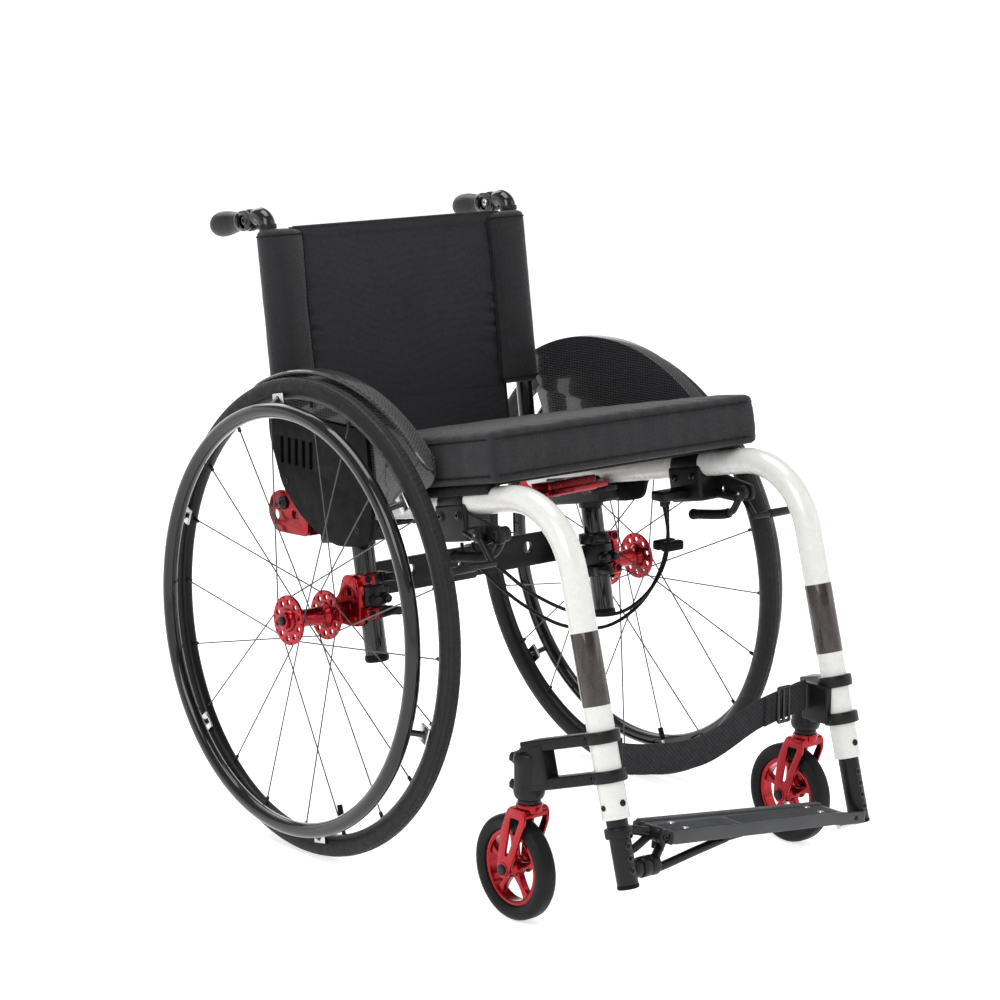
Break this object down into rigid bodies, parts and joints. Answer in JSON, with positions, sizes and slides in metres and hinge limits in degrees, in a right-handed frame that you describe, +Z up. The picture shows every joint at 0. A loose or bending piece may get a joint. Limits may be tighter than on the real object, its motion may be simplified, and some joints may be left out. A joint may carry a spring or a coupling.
{
  "type": "manual wheelchair",
  "caption": "Self-propelled folding wheelchair with spoked rear wheels and hand rings, front castors, cushioned seat, padded backrest and footplate.",
  "frame": {"origin": "on the floor, under the middle of the whole chair's footprint", "axes": "+Z up; +Y towards the back of the chair; +X towards the sitter's left"},
  "size_m": [0.622, 0.8264, 0.786],
  "materials": {
    "white_gloss": "gloss",
    "red_anodised": "gloss anodised",
    "black_metal": "satin",
    "dark_sleeve": "gloss",
    "tyre": "matte",
    "grip_rubber": "matte",
    "black_fabric": "woven",
    "carbon_weave": "gloss woven",
    "black_plastic": "matte",
    "grey_plate": "satin",
    "spoke_steel": "bright",
    "cable_cover": "satin"
  },
  "bodies": {
    "right_frame": {"frame_tube_right": "white_gloss", "leg_inset_right": "dark_sleeve", "rear_post_right": "black_metal", "rear_bar_right": "black_metal", "axle_clamp_right": "red_anodised", "side_guard_right": "carbon_weave", "side_cover_right": "black_plastic", "castor_arm_right": "black_metal", "lock_mount_right": "black_plastic", "back_hinge_right": "red_anodised", "seat_sling": "black_fabric", "seat_cushion": "black_fabric", "back_skirt": "black_fabric", "calf_strap": "black_fabric", "brake_cable_front": "cable_cover", "brake_cable_rear": "cable_cover"},
    "left_frame": {"frame_tube_left": "white_gloss", "leg_inset_left": "dark_sleeve", "rear_post_left": "black_metal", "rear_bar_left": "black_metal", "axle_clamp_left": "red_anodised", "side_guard_left": "carbon_weave", "side_cover_left": "black_plastic", "castor_arm_left": "black_metal", "lock_mount_left": "black_plastic", "back_hinge_left": "red_anodised", "cable_clip": "black_plastic"},
    "fold_link_right": {"fold_link_right": "red_anodised"},
    "foot_right": {"foot_tube_right": "black_metal"},
    "castor_fork_right": {"castor_fork_right": "red_anodised"},
    "castor_wheel_right": {"castor_rim_right": "red_anodised", "castor_tyre_right": "tyre"},
    "rear_wheel_right": {"wheel_hub_right": "red_anodised", "wheel_spokes_right": "spoke_steel", "wheel_rim_right": "black_metal", "wheel_tyre_right": "tyre", "handrim_right": "black_metal"},
    "back_right": {"back_cane_right": "black_metal", "back_bolster_right": "black_fabric", "back_sling": "black_fabric"},
    "handle_right": {"push_handle_right": "grip_rubber"},
    "lock_lever_right": {"lock_lever_right": "black_metal"},
    "lock_shoe_right": {"lock_shoe_right": "black_metal"},
    "fold_link_left": {"fold_link_left": "red_anodised"},
    "foot_left": {"foot_tube_left": "black_metal"},
    "castor_fork_left": {"castor_fork_left": "red_anodised"},
    "castor_wheel_left": {"castor_rim_left": "red_anodised", "castor_tyre_left": "tyre"},
    "rear_wheel_left": {"wheel_hub_left": "red_anodised", "wheel_spokes_left": "spoke_steel", "wheel_rim_left": "black_metal", "wheel_tyre_left": "tyre", "handrim_left": "black_metal"},
    "back_left": {"back_cane_left": "black_metal", "back_bolster_left": "black_fabric"},
    "handle_left": {"push_handle_left": "grip_rubber"},
    "lock_lever_left": {"lock_lever_left": "black_metal"},
    "lock_shoe_left": {"lock_shoe_left": "black_metal"},
    "footplate": {"footplate": "grey_plate", "footplate_strut": "black_metal"}
  },
  "joints": [
    {"name": "fold", "type": "hinge", "parent": "right_frame", "child": "fold_link_right", "pos_m": [-0.16, 0.05158, 0.42241], "axis": [0, -0.1908, -0.9816], "range_deg": [0, 44], "deforming": ["seat_sling", "seat_cushion", "back_sling", "back_skirt", "calf_strap", "brake_cable_front", "brake_cable_rear"]},
    {"name": "fold_middle", "type": "hinge", "parent": "fold_link_right", "child": "fold_link_left", "pos_m": [0, 0.02213, 0.42814], "axis": [0, -0.1908, -0.9816], "range_deg": [-88, 0]},
    {"name": "fold_left", "type": "hinge", "parent": "fold_link_left", "child": "left_frame", "pos_m": [0.16, 0.05158, 0.42241], "axis": [0, -0.1908, -0.9816], "range_deg": [0, 44]},
    {"name": "foot_slide_right", "type": "slide", "parent": "right_frame", "child": "foot_right", "axis": [0, -0.2664, -0.9639], "range_m": [0, 0.04]},
    {"name": "foot_slide_left", "type": "slide", "parent": "left_frame", "child": "foot_left", "axis": [0, -0.2664, -0.9639], "range_m": [0, 0.04]},
    {"name": "footplate_flip", "type": "hinge", "parent": "foot_right", "child": "footplate", "pos_m": [-0.138, -0.38427, 0.121], "axis": [0, -1, 0], "range_deg": [0, 95]},
    {"name": "castor_swivel_right", "type": "hinge", "parent": "right_frame", "child": "castor_fork_right", "pos_m": [-0.224, -0.26875, 0.152], "axis": [0, 0, 1], "continuous": true},
    {"name": "castor_spin_right", "type": "hinge", "parent": "castor_fork_right", "child": "castor_wheel_right", "pos_m": [-0.224, -0.24375, 0.063], "axis": [1, 0, 0], "continuous": true},
    {"name": "wheel_spin_right", "type": "hinge", "parent": "right_frame", "child": "rear_wheel_right", "pos_m": [-0.2586, 0.11625, 0.29683], "axis": [0.9994, 0, -0.0349], "continuous": true},
    {"name": "back_fold_right", "type": "hinge", "parent": "right_frame", "child": "back_right", "pos_m": [-0.196, 0.23025, 0.418], "axis": [1, 0, 0], "range_deg": [0, 42]},
    {"name": "handle_fold_right", "type": "hinge", "parent": "back_right", "child": "handle_right", "pos_m": [-0.196, 0.31625, 0.768], "axis": [-1, 0, 0], "range_deg": [0, 78]},
    {"name": "lock_lever_right", "type": "hinge", "parent": "right_frame", "child": "lock_lever_right", "pos_m": [-0.191, -0.18375, 0.442], "axis": [-1, 0, 0], "range_deg": [0, 60]},
    {"name": "lock_shoe_right", "type": "hinge", "parent": "right_frame", "child": "lock_shoe_right", "pos_m": [-0.209, -0.15975, 0.44], "axis": [1, 0, 0], "range_deg": [0, 28]},
    {"name": "castor_swivel_left", "type": "hinge", "parent": "left_frame", "child": "castor_fork_left", "pos_m": [0.224, -0.26875, 0.152], "axis": [0, 0, 1], "continuous": true},
    {"name": "castor_spin_left", "type": "hinge", "parent": "castor_fork_left", "child": "castor_wheel_left", "pos_m": [0.224, -0.24375, 0.063], "axis": [1, 0, 0], "continuous": true},
    {"name": "wheel_spin_left", "type": "hinge", "parent": "left_frame", "child": "rear_wheel_left", "pos_m": [0.2586, 0.11625, 0.29683], "axis": [0.9994, 0, 0.0349], "continuous": true},
    {"name": "back_fold_left", "type": "hinge", "parent": "left_frame", "child": "back_left", "pos_m": [0.196, 0.23025, 0.418], "axis": [1, 0, 0], "range_deg": [0, 42]},
    {"name": "handle_fold_left", "type": "hinge", "parent": "back_left", "child": "handle_left", "pos_m": [0.196, 0.31625, 0.768], "axis": [-1, 0, 0], "range_deg": [0, 78]},
    {"name": "lock_lever_left", "type": "hinge", "parent": "left_frame", "child": "lock_lever_left", "pos_m": [0.191, -0.18375, 0.442], "axis": [-1, 0, 0], "range_deg": [0, 60]},
    {"name": "lock_shoe_left", "type": "hinge", "parent": "left_frame", "child": "lock_shoe_left", "pos_m": [0.209, -0.15975, 0.44], "axis": [1, 0, 0], "range_deg": [0, 28]}
  ],
  "couplings": [
    {"joint": "fold_middle", "follows": "fold", "ratio": -2},
    {"joint": "fold_left", "follows": "fold", "ratio": 1},
    {"joint": "footplate_flip", "follows": "fold", "ratio": 2.15},
    {"joint": "foot_slide_left", "follows": "foot_slide_right", "ratio": 1},
    {"joint": "back_fold_left", "follows": "back_fold_right", "ratio": 1},
    {"joint": "lock_lever_left", "follows": "lock_lever_right", "ratio": 1},
    {"joint": "lock_shoe_right", "follows": "lock_lever_right", "ratio": 0.4666},
    {"joint": "lock_shoe_left", "follows": "lock_lever_right", "ratio": 0.4666}
  ]
}
